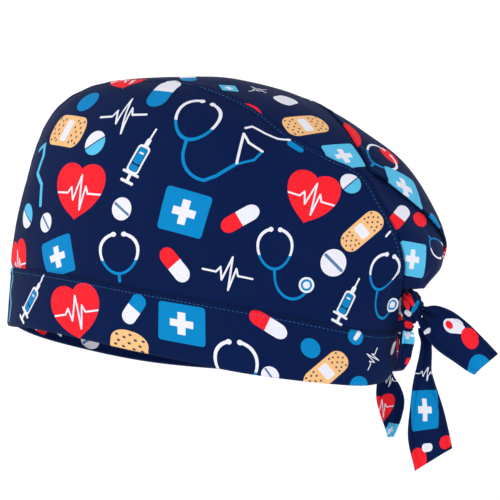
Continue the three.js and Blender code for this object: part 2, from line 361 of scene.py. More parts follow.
def tint(red, green, blue):
    return tuple(c / 12.92 if c <= 0.04045 else ((c + 0.055) / 1.055) ** 2.4
                 for c in (red / 255, green / 255, blue / 255)) + (1,)


dye = {"navy": tint(3, 24, 68), "red": tint(238, 34, 46), "blue": tint(3, 128, 190),
       "paleBlue": tint(84, 184, 224), "white": tint(226, 226, 236), "tan": tint(238, 186, 128),
       "grey": tint(60, 66, 86), "slate": tint(86, 122, 164), "thread": tint(44, 124, 172)}


class Wire:
    def __init__(self, tree, socket):
        self.tree = tree
        self.socket = socket

    def node(self, kind, settings=None, values=None, output=0):
        made = self.tree.nodes.new(kind)
        for name, value in (settings or {}).items():
            setattr(made, name, value)
        for name, value in (values or {}).items():
            if isinstance(value, Wire):
                self.tree.links.new(value.socket, made.inputs[name])
            else:
                made.inputs[name].default_value = value
        return Wire(self.tree, made.outputs[output])

    def sums(self, operation, a, b=0.0):
        return self.node("ShaderNodeMath", {"operation": operation}, {0: a, 1: b})

    def __add__(self, other):
        return self.sums("ADD", self, other)

    __radd__ = __add__

    def __sub__(self, other):
        return self.sums("SUBTRACT", self, other)

    def __rsub__(self, other):
        return self.sums("SUBTRACT", other, self)

    def __mul__(self, other):
        return self.sums("MULTIPLY", self, other)

    __rmul__ = __mul__

    def __lt__(self, other):
        return self.sums("LESS_THAN", self, other)

    def __gt__(self, other):
        return self.sums("GREATER_THAN", self, other)

    def __or__(self, other):
        return self.sums("MAXIMUM", self, other)

    def __and__(self, other):
        return self.sums("MINIMUM", self, other)

    def __abs__(self):
        return self.sums("ABSOLUTE", self)

    def arrow(self, operation, a, b=(0, 0, 0), output="Vector"):
        return self.node("ShaderNodeVectorMath", {"operation": operation}, {0: a, 1: b}, output)

    def part(self, name):
        return self.node("ShaderNodeSeparateXYZ", None, {0: self}, name)

    def over(self, paint, mask):
        return self.node("ShaderNodeMix", {"data_type": "RGBA"}, {0: mask, 6: self, 7: paint}, 2)


def disc(spot, centre, radius):
    return spot.arrow("DISTANCE", spot, (*centre, 0), "Value") < radius


def slab(spot, centre, half, corner):
    beyond = spot.arrow("ABSOLUTE", spot.arrow("SUBTRACT", spot, (*centre, 0)))
    beyond = spot.arrow("SUBTRACT", beyond, (half[0] - corner, half[1] - corner, 0))
    beyond = spot.arrow("MAXIMUM", beyond, (0, 0, 0))
    return spot.arrow("LENGTH", beyond, output="Value") < corner


def awayFromLine(spot, start, end):
    run = (end[0] - start[0], end[1] - start[1])
    size = run[0] ** 2 + run[1] ** 2
    rest = spot.arrow("SUBTRACT", spot, (*start, 0))
    share = spot.arrow("DOT_PRODUCT", rest, (run[0] / size, run[1] / size, 0), "Value")
    share = share.node("ShaderNodeClamp", None, {0: share})
    foot = spot.node("ShaderNodeVectorMath", {"operation": "SCALE"}, {0: (*run, 0), "Scale": share})
    return spot.arrow("DISTANCE", rest, foot, "Value")


def stroke(spot, points, halfWidth):
    away = None
    for start, end in zip(points, points[1:]):
        nextAway = awayFromLine(spot, start, end)
        away = nextAway if away is None else away & nextAway
    return away < halfWidth


pulseLine = [(-1, -0.02), (-0.46, -0.02), (-0.32, 0.2), (-0.18, -0.28), (0.06, 0.66), (0.16, -0.62),
             (0.3, 0.26), (0.42, 0.0), (1, 0.02)]


# The line of an ellipse, as wide as twice halfWidth of its half sizes.
def ring(x, y, half, halfWidth):
    spot = x.node("ShaderNodeCombineXYZ", None, {0: x * (1 / half[0]), 1: y * (1 / half[1])})
    return abs(spot.arrow("LENGTH", spot, output="Value") - 1) < halfWidth


def paintHeart(colour, spot):
    x, y = spot.part("X"), spot.part("Y") + 0.08
    across, tall = x * x, y * y
    round_ = across * 1.18 + tall * 1.1 - 1
    heart = (round_ * round_ * round_ - across * tall * y * 1.36) < 0
    colour = colour.over(dye["red"], heart)
    return colour.over(dye["white"], stroke(spot, pulseLine, 0.035) & heart)


def paintPulse(colour, spot):
    return colour.over(dye["white"], stroke(spot, pulseLine, 0.038))


def paintCapsule(colour, spot, half):
    body = slab(spot, (0, 0), (1, 0.46), 0.455)
    colour = colour.over(dye["white"], body)
    return colour.over(dye[half], body & (spot.part("X") < -0.05))


def paintRedCapsule(colour, spot):
    return paintCapsule(colour, spot, "red")


def paintBlueCapsule(colour, spot):
    return paintCapsule(colour, spot, "blue")


def paintTablet(colour, spot):
    colour = colour.over(dye["white"], disc(spot, (0, 0), 1))
    return colour.over(dye["slate"], stroke(spot, [(-0.66, 0.5), (0.66, -0.5)], 0.12))


def paintHalfTablet(colour, spot):
    tablet = disc(spot, (0, 0), 1)
    y = spot.part("Y")
    colour = colour.over(dye["white"], tablet)
    colour = colour.over(dye["paleBlue"], tablet & (y < 0))
    return colour.over(dye["navy"], tablet & (abs(y) < 0.05))


def paintDisc(colour, spot):
    return colour.over(dye["blue"], disc(spot, (0, 0), 1))


def paintRedDisc(colour, spot):
    return colour.over(dye["red"], disc(spot, (0, 0), 1))


def paintPatch(colour, spot):
    return colour.over(dye["white"], slab(spot, (0, 0), (1, 0.62), 0.6))


def paintBandage(colour, spot):
    strip = slab(spot, (0, 0), (1, 0.47), 0.42)
    colour = colour.over(dye["tan"], strip)
    near = spot.arrow("ABSOLUTE", spot)
    dots = None
    for place in ((0.4, 0.13), (0.56, 0.27), (0.56, 0.0), (0.72, 0.14), (0.86, 0.0), (0.4, 0.33),
                  (0.76, 0.33)):
        dot = disc(near, place, 0.042)
        dots = dot if dots is None else dots | dot
    colour = colour.over(dye["grey"], dots)
    return colour.over(dye["white"], slab(spot, (0, 0), (0.2, 0.32), 0.08))


def paintTile(colour, spot, ground):
    colour = colour.over(dye[ground], slab(spot, (0, 0), (1, 0.94), 0.16))
    cross = slab(spot, (0, 0), (0.5, 0.17), 0.02) | slab(spot, (0, 0), (0.17, 0.54), 0.02)
    return colour.over(dye["white"], cross)


def paintBlueTile(colour, spot):
    return paintTile(colour, spot, "blue")


def paintPaleTile(colour, spot):
    return paintTile(colour, spot, "paleBlue")


def paintSyringe(colour, spot):
    frameWork = slab(spot, (0, -0.06), (0.25, 0.5), 0.14)
    frameWork = frameWork | stroke(spot, [(0, 0.4), (0, 0.62)], 0.09)
    frameWork = frameWork | stroke(spot, [(0, 0.6), (0, 1.05)], 0.035)
    frameWork = frameWork | stroke(spot, [(-0.3, -0.56), (0.3, -0.56)], 0.045)
    frameWork = frameWork | stroke(spot, [(0, -0.56), (0, -0.84)], 0.06)
    frameWork = frameWork | stroke(spot, [(-0.22, -0.86), (0.22, -0.86)], 0.05)
    colour = colour.over(dye["white"], frameWork)
    colour = colour.over(dye["navy"], slab(spot, (0, -0.06), (0.18, 0.42), 0.09))
    colour = colour.over(dye["blue"], slab(spot, (0, 0.07), (0.15, 0.28), 0.07))
    colour = colour.over(dye["blue"], slab(spot, (0, -0.36), (0.15, 0.1), 0.03))
    return colour.over(dye["white"], stroke(spot, [(-0.06, 0.17), (0.06, 0.17)], 0.03))


def paintShortStethoscope(colour, spot):
    x, y = spot.part("X"), spot.part("Y")
    arms = ring(x * (1 - y * 0.13), y + 0.08, (1, 1.17), 0.075)
    arms = arms & (1 - ((abs(x) < 0.26) & (y > 0)))
    near = x.node("ShaderNodeCombineXYZ", None, {0: abs(x), 1: y})
    colour = colour.over(dye["white"], arms | disc(near, (0.27, 1.05), 0.14))
    colour = colour.over(dye["blue"], arms & (y < -0.45))
    return colour.over(dye["blue"], stroke(spot, [(0, -1.25), (0.04, -1.7)], 0.08))


def paintStethoscope(colour, spot):
    colour = paintShortStethoscope(colour, spot)
    x, y = spot.part("X"), spot.part("Y")
    tube = ring(x - 1.15, y + 1.6, (1.12, 1.4), 0.06) & (y < -1.55) & ((x < 1.4) | (y < -2.3))
    colour = colour.over(dye["blue"], tube)
    colour = colour.over(dye["white"], disc(spot, (1.98, -2.14), 0.48))
    colour = colour.over(dye["blue"], disc(spot, (1.98, -2.14), 0.35))
    return colour.over(dye["white"], disc(spot, (1.98, -2.14), 0.22))


def paintWideStethoscope(colour, spot):
    colour = paintShortStethoscope(colour, spot)
    x, y = spot.part("X"), spot.part("Y")
    hose = ring(x - 1.29, y + 1.65, (1.25, 1.25), 0.06) & (y < -1.6) & (x < 1.5)
    hose = hose | stroke(spot, [(1.45, -2.89), (1.9, -2.55), (2.6, -1.7)], 0.08)
    colour = colour.over(dye["blue"], hose)
    colour = colour.over(dye["blue"], stroke(spot, [(3.5, -0.6), (3.3, -1.2), (2.7, -1.65)], 0.06))
    pipes = stroke(spot, [(2.6, -1.65), (2.35, -0.1), (2.75, -0.45), (3.5, -0.6)], 0.065)
    pipes = pipes | stroke(spot, [(2.3, 0.25), (2.55, 0.5), (3.25, 0.45), (3.9, 0.5), (4.5, 0.7)], 0.06)
    colour = colour.over(dye["white"], pipes)
    return colour.over(dye["blue"], stroke(spot, [(4.6, 0.5), (5.2, 0.35)], 0.16))


def paintHose(colour, spot):
    bends = [(-0.35, 0.95), (0.05, 1), (0.1, 0.6), (-0.18, 0.1), (0.12, -0.35), (0.02, -1)]
    return colour.over(dye["paleBlue"], stroke(spot, bends, 0.07))


# Each painter comes with the reach of its shape and its usual half size in millimetres.
painters = {
    "heart": (paintHeart, 1.5, 14), "pulse": (paintPulse, 1.12, 13.5),
    "redCapsule": (paintRedCapsule, 1.05, 10), "blueCapsule": (paintBlueCapsule, 1.05, 10),
    "tablet": (paintTablet, 1.02, 6), "halfTablet": (paintHalfTablet, 1.02, 6),
    "disc": (paintDisc, 1.02, 5.5), "redDisc": (paintRedDisc, 1.02, 5.5), "patch": (paintPatch, 1.2, 6),
    "bandage": (paintBandage, 1.1, 13), "blueTile": (paintBlueTile, 1.3, 12),
    "paleTile": (paintPaleTile, 1.3, 12), "syringe": (paintSyringe, 1.1, 15),
    "stethoscope": (paintStethoscope, 3.4, 10), "shortStethoscope": (paintShortStethoscope, 2.1, 10),
    "wideStethoscope": (paintWideStethoscope, 5.6, 10), "hose": (paintHose, 1.1, 17),
}


# A chart row is (across, up, turn in degrees, scale, stretch): where a shape sits on the flat
# cloth in millimetres, its scale against the usual size, and its height against its width.
def printCloth(name, chart):
    material = bpy.data.materials.new(name)
    material.use_nodes = True
    tree = material.node_tree
    shader = tree.nodes["Principled BSDF"]
    uvMap = tree.nodes.new("ShaderNodeUVMap")
    uvMap.uv_map = "clothFlat"
    cloth = Wire(tree, uvMap.outputs[0])
    coords = tree.nodes.new("ShaderNodeTexCoord")
    solid = Wire(tree, coords.outputs["Object"])
    shade = solid.node("ShaderNodeTexNoise", None, {"Vector": solid, "Scale": 30.0, "Detail": 4.0})
    colour = cloth.node("ShaderNodeMix", {"data_type": "RGBA"},
                        {0: shade, 6: tuple(c * 0.82 for c in dye["navy"][:3]) + (1,),
                         7: tuple(c * 1.2 for c in dye["navy"][:3]) + (1,)}, 2)
    for kind, rows in chart.items():
        paint, reach, usual = painters[kind]
        spot = None
        for row in rows:
            across, up, turn, scale, stretch = (row + (1, 1))[:5]
            size = usual * scale * mm
            here = cloth.node("ShaderNodeMapping", {"vector_type": "TEXTURE"},
                              {"Vector": cloth, "Location": (across * mm, up * mm, 0),
                               "Rotation": (0, 0, math.radians(turn)),
                               "Scale": (size, size * stretch, 1)})
            if spot is None:
                spot = here
            else:
                near = here.arrow("LENGTH", here, output="Value") < reach
                spot = spot.node("ShaderNodeMix", {"data_type": "VECTOR"}, {0: near, 4: spot, 5: here}, 1)
        colour = paint(colour, spot)
    grain = cloth.node("ShaderNodeTexNoise", None, {"Vector": cloth, "Scale": 900.0, "Detail": 2.0})
    colour = colour.node("ShaderNodeHueSaturation", None, {"Value": grain * 0.24 + 0.88, "Color": colour})
    tree.links.new(colour.socket, shader.inputs["Base Color"])
    warp = cloth.node("ShaderNodeTexWave", {"bands_direction": "X"},
                      {"Vector": cloth, "Scale": 560.0, "Distortion": 0.6, "Detail": 1.0})
    weft = cloth.node("ShaderNodeTexWave", {"bands_direction": "Y"},
                      {"Vector": cloth, "Scale": 560.0, "Distortion": 0.6, "Detail": 1.0})
    rumple = solid.node("ShaderNodeTexNoise", None, {"Vector": solid, "Scale": 55.0, "Detail": 3.0})
    height = (warp + weft) * 0.5 + rumple * 3.0
    bump = height.node("ShaderNodeBump", None, {"Height": height, "Strength": 0.35, "Distance": 0.00025},
                       "Normal")
    tree.links.new(bump.socket, shader.inputs["Normal"])
    rough = grain * 0.12 + 0.72
    tree.links.new(rough.socket, shader.inputs["Roughness"])
    shader.inputs["Specular IOR Level"].default_value = 0.06
    shader.inputs["Sheen Weight"].default_value = 0.02
    shader.inputs["Sheen Roughness"].default_value = 0.5
    return material


def threadMaterial():
    material = bpy.data.materials.new("stitching thread")
    material.use_nodes = True
    tree = material.node_tree
    shader = tree.nodes["Principled BSDF"]
    coords = tree.nodes.new("ShaderNodeTexCoord")
    solid = Wire(tree, coords.outputs["Object"])
    twist = solid.node("ShaderNodeTexNoise", None, {"Vector": solid, "Scale": 160.0, "Detail": 2.0})
    colour = solid.node("ShaderNodeMix", {"data_type": "RGBA"},
                        {0: twist, 6: tint(20, 74, 122), 7: dye["thread"]}, 2)
    tree.links.new(colour.socket, shader.inputs["Base Color"])
    shader.inputs["Roughness"].default_value = 0.6
    return material


# ---- the panels

chartLeft = {
    "heart": [(-45, 88, -13, 1.2, 0.84), (87, 86, -11), (-33, 163, 10), (-112, 62, -10)],
    "disc": [(-50, 142, 0, 1.25)],
    "blueCapsule": [(-3, 144, 82, 1.3)],
    "pulse": [(-21, 127, -5, 1.05, 1.2), (45, 41, -10, 1.05)],
    "bandage": [(-58, 125, -20, 1.1, 1.3), (118, 72, 50, 1.1, 0.92)],
    "halfTablet": [(-35, 113, 22, 1.1), (108, 98, 50), (-92, 86, 130, 1.15)],
    "syringe": [(-7, 102, -27, 1.05), (115, 30, -24)],
    "wideStethoscope": [(21, 125, -13, 1.12)],
    "stethoscope": [(70, 57, 3, 0.94), (136, 51, -6, 0.85, 1.15)],
    "shortStethoscope": [(-19, 53, -3, 1.2, 0.78)],
    "redCapsule": [(50, 71, 34, 1.12, 0.82), (15, 45, -50, 1.12, 0.88), (-108, 118, 60, 0.9)],
    "tablet": [(-16, 76, -4), (104, 52, 0, 1.3), (-72, 77, -20, 0.9)],
    "blueTile": [(20, 73, -14, 1.06, 0.95), (-64, 56, 4, 1.1, 0.85)],
    "hose": [(-77, 105, 0)],
    "patch": [(133, 73, 60, 0.4, 0.4)],
}
chartCrown = {
    "paleTile": [(43, -41, 40, 0.4), (122, -46, 60, 0.85)],
    "patch": [(72, -27, 85, 1.3, 1.2)],
    "pulse": [(55, -28, 75, 0.6)],
    "bandage": [(93, -41, 64, 1.08, 1.2), (-60, 20, 30)],
    "redDisc": [(64, -62, 0, 2)],
    "heart": [(-30, -20, 20), (20, 28, -60)],
    "redCapsule": [(0, -5, 40), (-82, 8, 100), (75, 20, 20)],
    "blueTile": [(-70, -22, -20), (38, 2, 60, 0.9)],
    "tablet": [(-12, 22, 0), (55, 30, 40)],
    "blueCapsule": [(15, -35, 120), (-105, 25, 40)],
    "syringe": [(-40, 25, 60), (5, 45, 20)],
    "stethoscope": [(-130, 0, 20)],
}
chartPouch = {
    "redCapsule": [(108, 79, 50, 0.85)],
    "redDisc": [(121, 79, 0, 0.8)],
    "paleTile": [(115, 56, -6, 0.62, 1.3)],
    "shortStethoscope": [(131, 63, -150, 0.5)],
}
chartBand = {
    "heart": [(111, 14, 14, 1.25, 0.84), (8, 16, -10), (-150, 18, 12), (-262, 16, -8)],
    "syringe": [(72, 17, -37, 1, 1.2), (-38, 17, 25), (-214, 17, -30)],
    "blueCapsule": [(150, 23, -122, 0.95), (-60, 24, 30), (-285, 22, 60)],
    "bandage": [(147, -5, 85, 1.2, 1.6), (257, 7, 44, 1.2, 0.85), (-90, 15, -35), (-240, 22, 50)],
    "blueTile": [(178, 20, 1, 1.1, 0.84), (-118, 18, 8), (-185, 16, -12)],
    "shortStethoscope": [(208, 5, 6, 1.12, 0.9)],
    "redCapsule": [(225, 28, -24, 1.08, 0.85), (-18, 6, 20, 0.8), (-134, 6, 45), (-300, 10, 20)],
    "disc": [(248, 19, 0), (277, 0, 0, 1.1), (275, 30, 0, 0.9), (-165, 4, 0), (-75, 18, 0, 0.8)],
    "tablet": [(226, 1, -15, 0.8), (-55, 6, 0), (-200, 30, 0)],
    "pulse": [(287, 17, 60, 0.6), (-225, 4, 0, 0.8), (-100, 32, 0, 0.7)],
    "patch": [(276, 31, 60, 0.6, 0.6), (307, 20, 60, 0.8, 0.7)],
    "hose": [(38, 18, 0, 0.9)],
}

# The plain repeat of the print, for the sides that are mostly unseen.
repeatForm = {"width": 112, "height": 96}
repeatChart = {
    "heart": [(14, 20, -12), (70, 66, 10)],
    "blueTile": [(44, 30, 12), (100, 78, -10)],
    "redCapsule": [(69, 28, 35), (20, 86, -40)],
    "blueCapsule": [(92, 12, 60)],
    "pulse": [(42, 58, -6), (102, 56, 8, 0.85)],
    "stethoscope": [(12, 62, 5)],
    "bandage": [(44, 84, 40)],
    "tablet": [(60, 8, 0), (84, 94, 20)],
    "syringe": [(90, 33, -25, 0.75)],
    "disc": [(30, 4, 0)],
}


def repeatOver(left, right, low, high, clear=()):
    chart = {kind: [] for kind in repeatChart}
    for kind, rows in repeatChart.items():
        for row in rows:
            for i in range(math.floor(left / repeatForm["width"]), math.ceil(right / repeatForm["width"])):
                for j in range(math.floor(low / repeatForm["height"]),
                               math.ceil(high / repeatForm["height"])):
                    across = row[0] + i * repeatForm["width"] + 30 * (j % 2)
                    up = row[1] + j * repeatForm["height"]
                    inside = left < across < right and low < up < high
                    if inside and all(math.hypot(across - x, up - y) > r for x, y, r in clear):
                        chart[kind].append((across, up) + row[2:])
    return {kind: rows for kind, rows in chart.items() if rows}


chartRight = repeatOver(-170, 155, 10, 172, clear=[(-145, 140, 42)])
chartRight.update({"redDisc": [(-131, 161, 0, 2.5, 0.4), (-138, 137, 0, 1.2)],
                   "shortStethoscope": [(-145, 143, -120)], "paleTile": [(-161, 127, -70, 1.05)]})

leftPanel = {"countU": 200, "countV": 90, "rows": (0.0, 15.95), "gap": 0.25, "tuck": 0.5, "wall": 1.2,
             "creases": [((30, 118, 30), (62, 85, 62), 5, 0.9), ((34, 112, 24), (74, 60, 40), 6, 0.7),
                         ((26, 124, 44), (52, 98, 84), 4, 0.6)]}


def edgeEase(v):
    return mix(v, smooth(v), 0.55)


def makeLeftPanel():
    p = leftPanel

    def spot(u, v):
        row = round(mix(*p["rows"], u), 6)
        size = sideFrame(row, 1)[4]
        trim = min(0.3, p["gap"] / size)
        return row, mix(-p["tuck"] / size, 1 - trim, edgeEase(v))

    def place(u, v):
        row, up = spot(u, v)
        return sidePoint(row, up, 1)

    def relief(u, v, point):
        row, up = spot(u, v)
        toSeam = (point - seamPoint(row, 1)).length
        toBand = (point - sideFrame(row, 1)[0]).length
        near = seamRelief(toSeam, row * 24)
        near += -0.55 * bell(toBand, 0.8) + 0.25 * bell(toBand - 3, 4) * noise.noise(point * 0.14) * 2
        calm = smooth(toSeam / 12) * smooth(toBand / 12)
        rest = looseness(point, 34, 1.1) + looseness(point, 15, 0.35, 5.0)
        return near + calm * rest + calm * creaseRelief(point, p["creases"])

    bm = layCloth(p["countU"], p["countV"], place, relief, lambda u, v, q: (q.y * mm, q.z * mm))
    panel = finishMesh("side_panel_left_cloth", bm, printCloth("printed cotton, left panel", chartLeft))
    flattenPanel(panel, lambda q: (q.y, q.z))
    thicken(panel, p["wall"])
    return panel


rightPanel = {"countU": 200, "countV": 120, "rows": (0.0, 15.75), "gap": 0.25, "tuck": 0.5, "wall": 1.2,
              "foldLift": 0.9}


def makeRightPanel():
    p = rightPanel

    def spot(u, v):
        row = round(mix(*p["rows"], 1 - u), 6)
        seam = seamPoint(row, -1)
        size = sideFrame(row, -1)[4]
        reach = (rightEdge(row) + 1) * -seam.x - p["gap"]
        return row, mix(-p["tuck"], size + reach, edgeEase(v)), size, -seam.x

    def place(u, v):
        row, along, size, half = spot(u, v)
        if along <= size:
            return sidePoint(row, along / size, -1)
        return crownPoint(row, (along - size) / half - 1)

    def relief(u, v, point):
        row = spot(u, v)[0]
        toEdge = (point - crownPoint(row, rightEdge(row))).length
        toBand = (point - sideFrame(row, -1)[0]).length
        if row < 11:
            near = seamRelief(toEdge, row * 24)
        else:
            near = p["foldLift"] * bell(toEdge, 5) - 1.3 * bell(toEdge, 0.7)
        near += -0.55 * bell(toBand, 0.8) + 0.25 * bell(toBand - 3, 4) * noise.noise(point * 0.14) * 2
        calm = smooth(toEdge / 12) * smooth(toBand / 12)
        return near + calm * (looseness(point, 34, 1.1, 9.0) + looseness(point, 15, 0.35, 2.0))

    bm = layCloth(p["countU"], p["countV"], place, relief, lambda u, v, q: (-q.y * mm, q.z * mm))
    panel = finishMesh("side_panel_right_cloth", bm, printCloth("printed cotton, right panel", chartRight))
    flattenPanel(panel, lambda q: (-q.y, q.z))
    thicken(panel, p["wall"])
    return panel


crownForm = {"countU": 150, "countV": 44, "rows": (0.0, 11.12), "tuck": 0.9, "wall": 1.2}


def makeCrown():
    p = crownForm

    def spot(u, v):
        row = round(mix(*p["rows"], u), 6)
        tuck = p["tuck"] / seamPoint(row, 1).x
        far = follow(farEdge["row"], farEdge["across"], min(row, 11)) - tuck
        return row, mix(1 + tuck, far, edgeEase(v))

    def place(u, v):
        return crownPoint(*spot(u, v))

    def relief(u, v, point):
        row, across = spot(u, v)
        toLeft = (point - seamPoint(row, 1)).length
        toRight = (point - crownPoint(row, rightEdge(row))).length
        near = -0.9 * bell(toLeft, 1.1) - 0.9 * bell(toRight, 1.1)
        calm = smooth(toLeft / 12) * smooth(toRight / 12)
        return near + calm * looseness(point, 26, 0.8, 4.0)

    bm = layCloth(p["countU"], p["countV"], place, relief, lambda u, v, q: (q.y * mm, -q.x * mm))
    panel = finishMesh("crown_panel_cloth", bm, printCloth("printed cotton, crown", chartCrown))
    flattenPanel(panel, lambda q: (q.y, -q.x))
    thicken(panel, p["wall"])
    return panel


pouchForm = {"countU": 90, "countV": 60, "rows": (11.1, 14.95), "gap": 0.25, "wall": 1.2, "inset": 2.0,
             "reach": 9, "under": 6,
             "creases": [((12, 139, 72), (10, 138, 44), 3.2, -1.3), ((26, 132, 62), (20, 128, 42), 3, -0.8)]}


def makePouch():
    p = pouchForm

    def spot(u, v):
        row = round(mix(*p["rows"], u), 6)
        half = seamPoint(row, 1).x
        low = max(-1.0, rightEdge(row) - p["under"] / half)
        return row, mix(1 - p["gap"] / half, low, v), half

    def place(u, v):
        row, across, half = spot(u, v)
        return crownPoint(row, across)

    def relief(u, v, point):
        row, across, half = spot(u, v)
        away = smooth((1 - across) * half / p["reach"])
        near = min(1, max(0, (across - rightEdge(row)) * half / 30))
        inset = p["inset"] * away * (1 - near * near)
        toLeft = (point - seamPoint(row, 1)).length
        calm = smooth(toLeft / 8)
        return (-inset - 0.9 * bell(toLeft, 1.1) + calm * looseness(point, 18, 0.9, 6.0)
                + calm * creaseRelief(point, p["creases"]))

    bm = layCloth(p["countU"], p["countV"], place, relief,
                  lambda u, v, q: ((-0.375 * q.x + 0.927 * q.y) * mm, q.z * mm))
    panel = finishMesh("back_pouch_cloth", bm, printCloth("printed cotton, pouch", chartPouch))
    thicken(panel, p["wall"])
    return panel


bandCloth = {"countU": 440, "countV": 26, "wall": 2.0, "height": 34.5}


@lru_cache(None)
def bandArc(angle):
    steps = max(1, int(abs(angle)))
    total = 0.0
    for k in range(steps):
        a = bandPoint("top", abs(angle) * k / steps, 1)
        b = bandPoint("top", abs(angle) * (k + 1) / steps, 1)
        total += math.hypot(a.x - b.x, a.y - b.y)
    return math.copysign(total, angle)


def bandSpot(angle, up):
    side = -1 if angle < 0 else 1
    low = bandPoint("rim", abs(angle), side)
    return low.lerp(bandPoint("top", abs(angle), side), up)


def makeBand():
    p = bandCloth

    def place(u, v):
        return bandSpot(round(mix(-bandEndAngle, bandEndAngle, u), 6), v)

    def relief(u, v, point):
        angle = mix(-bandEndAngle, bandEndAngle, u)
        top = bandSpot(round(angle, 6), 1)
        low = bandSpot(round(angle, 6), 0)
        toTop, toRim = (top - point).length, (point - low).length
        near = seamRelief(toTop, bandArc(angle)) - 0.8 * bell(toRim, 0.9)
        calm = smooth(toTop / 8) * smooth((toRim + 6) / 10)
        return near + calm * looseness(point, 24, 0.7, 8.0)

    def flat(u, v, point):
        angle = mix(-bandEndAngle, bandEndAngle, u)
        return bandArc(round(angle, 6)) * mm, v * p["height"] * mm

    bm = layCloth(p["countU"], p["countV"], place, relief, flat)
    band = finishMesh("headband_cloth", bm, printCloth("printed cotton, band", chartBand))
    thicken(band, p["wall"])
    return band


# ---- ties: strips between two edge lines, a and b, in millimetres

tailOut = {
    "a": [(3.5, 133.4, 32), (2.5, 137.5, 32.4), (1, 142, 31.6), (-1, 149, 28.3), (-4, 156.5, 22),
          (-9, 163.5, 14), (-13.4, 170.7, 5.3)],
    "b": [(3.8, 132.2, 24), (3.7, 133.5, 18), (3, 136, 13), (1, 141, 7), (-2.7, 149, 0.8),
          (-6.7, 155, -4), (-9.2, 158.2, -6)],
    "bow": 1.5, "wall": 1.0, "pleats": 2.5, "flip": True}
tailDown = {
    "a": [(-1, 130, 20), (-2.5, 130.6, 11), (-3.3, 128.4, 2), (-4, 124.7, -10.5), (-5, 122.5, -24),
          (-6.5, 120.7, -41), (-10, 123.5, -59)],
    "b": [(-3, 134, 18), (-5, 136, 8), (-5.7, 134.5, 0), (-8, 135.5, -9), (-11.5, 139.4, -24),
          (-14.5, 141.5, -36), (-17, 142.9, -46.4)],
    "bow": 1.2, "wall": 1.0, "pleats": 1.5, "flip": False}
loopShort = {
    "a": [(13.5, 125, 17.5), (14.8, 124.3, 12), (14.4, 122, 5), (12.9, 121.8, -0.8), (10.5, 122.3, -3)],
    "b": [(9.5, 128.3, 17), (7.7, 128.3, 12), (7.2, 127.5, 4.8), (6.8, 125, -0.3), (7.5, 123.3, -2.8)],
    "bow": 1.2, "wall": 1.0, "pleats": 1.5, "flip": False}
tailUnder = {
    "a": [(-15, 98.5, 14), (-16, 98.5, 2), (-16.4, 98.6, -9), (-17.5, 98, -17), (-18.5, 99, -24.5),
          (-20.4, 102, -34), (-22, 104.4, -40.5)],
    "b": [(-18, 104.5, 15), (-18.8, 106, 5), (-20, 108, -5), (-21.5, 111.5, -12), (-23, 113.3, -20),
          (-24, 111, -30), (-22.6, 106, -40)],
    "bow": -1.5, "wall": 1.0, "pleats": 1.0, "flip": False}
chartOut = {
    "patch": [(25, 5, 38, 0.9), (12, -6, 30, 0.4)],
    "redDisc": [(23, 4, 0, 0.35), (33, 5, 0, 0.75, 1.2)],
    "disc": [(46, -8, 30, 1.5, 1.4)],
}
chartDown = {
    "blueTile": [(50, -1, 88, 0.62, 1.3)],
    "pulse": [(32, 1, 85, 0.5)],
    "redDisc": [(70, -8, 0, 0.8), (68, 9, 0, 0.7)],
    "patch": [(67, -2, 80, 0.5)],
}
chartLoop = {"paleTile": [(2, 0, 0, 0.35)], "redDisc": [(14, 3, 0, 0.4)]}
chartUnder = {"heart": [(37, -6, 80, 0.55)], "pulse": [(21, 2, 60, 0.5)], "paleTile": [(51, -1, 60, 0.35)]}
chartKnot = {
    "redDisc": [(112.5, 34, -75, 0.9, 0.32), (115, 35, -70, 0.8, 0.28)],
    "patch": [(113.5, 27.5, -40, 0.35)],
    "disc": [(117.5, 31, 60, 0.75, 0.3)],
}
chartWrap = {"redDisc": [(114, 21.5, 0, 0.45)]}
hemForm = {"width": 3.2, "height": 0.9, "groove": 1.0}


def edgeSpot(line, row):
    keys = list(range(len(line)))
    return Vector([follow(keys, [q[k] for q in line], row) for k in range(3)])


def tieSpot(tie, u, v):
    row = u * (len(tie["a"]) - 1)
    a, b = edgeSpot(tie["a"], row), edgeSpot(tie["b"], row)
    if tie["flip"]:
        a, b = b, a
    return a.lerp(b, v) + Vector((0.93, 0.37, 0)) * (tie["bow"] * 4 * v * (1 - v))


def tieSize(tie):
    steps = 40
    middle = [tieSpot(tie, k / steps, 0.5) for k in range(steps + 1)]
    length = sum((b - a).length for a, b in zip(middle, middle[1:]))
    width = max((tieSpot(tie, k / steps, 0) - tieSpot(tie, k / steps, 1)).length for k in range(steps + 1))
    return width, length


def makeTie(name, tie, chart, countU=110, countV=44):
    width, length = tieSize(tie)

    def place(u, v):
        return tieSpot(tie, u, v)

    def relief(u, v, point):
        across = (tieSpot(tie, u, 0) - tieSpot(tie, u, 1)).length
        toEdge = min(v, 1 - v) * across
        hem = hemForm["height"] * (1 - smooth((toEdge - hemForm["width"]) / 1.2))
        hem -= hemForm["groove"] * bell(toEdge - hemForm["width"] + 0.6, 0.4) + 0.5 * bell(toEdge, 0.6)
        gather = math.cos(2 * math.pi * tie["pleats"] * v + 3 * noise.noise(point * 0.09))
        hem *= smooth(across / 9)
        return (hem + 2.2 * gather * (1 - smooth(u / 0.6)) * smooth(across / 6)
                + looseness(point, 16, 0.8, 3.0) * smooth(toEdge / 4))

    def flat(u, v, point):
        across = (tieSpot(tie, u, 0) - tieSpot(tie, u, 1)).length
        return u * length * mm, (v - 0.5) * across * mm

    bm = layCloth(countU, countV, place, relief, flat)
    piece = finishMesh(name + "_cloth", bm, printCloth("printed cotton, " + name.replace("_", " "), chart))
    thicken(piece, tie["wall"])
    return piece, (max(0.01, width * mm), length * mm)


# ---- the knot: a tight body of cloth whose turns are pressed into it

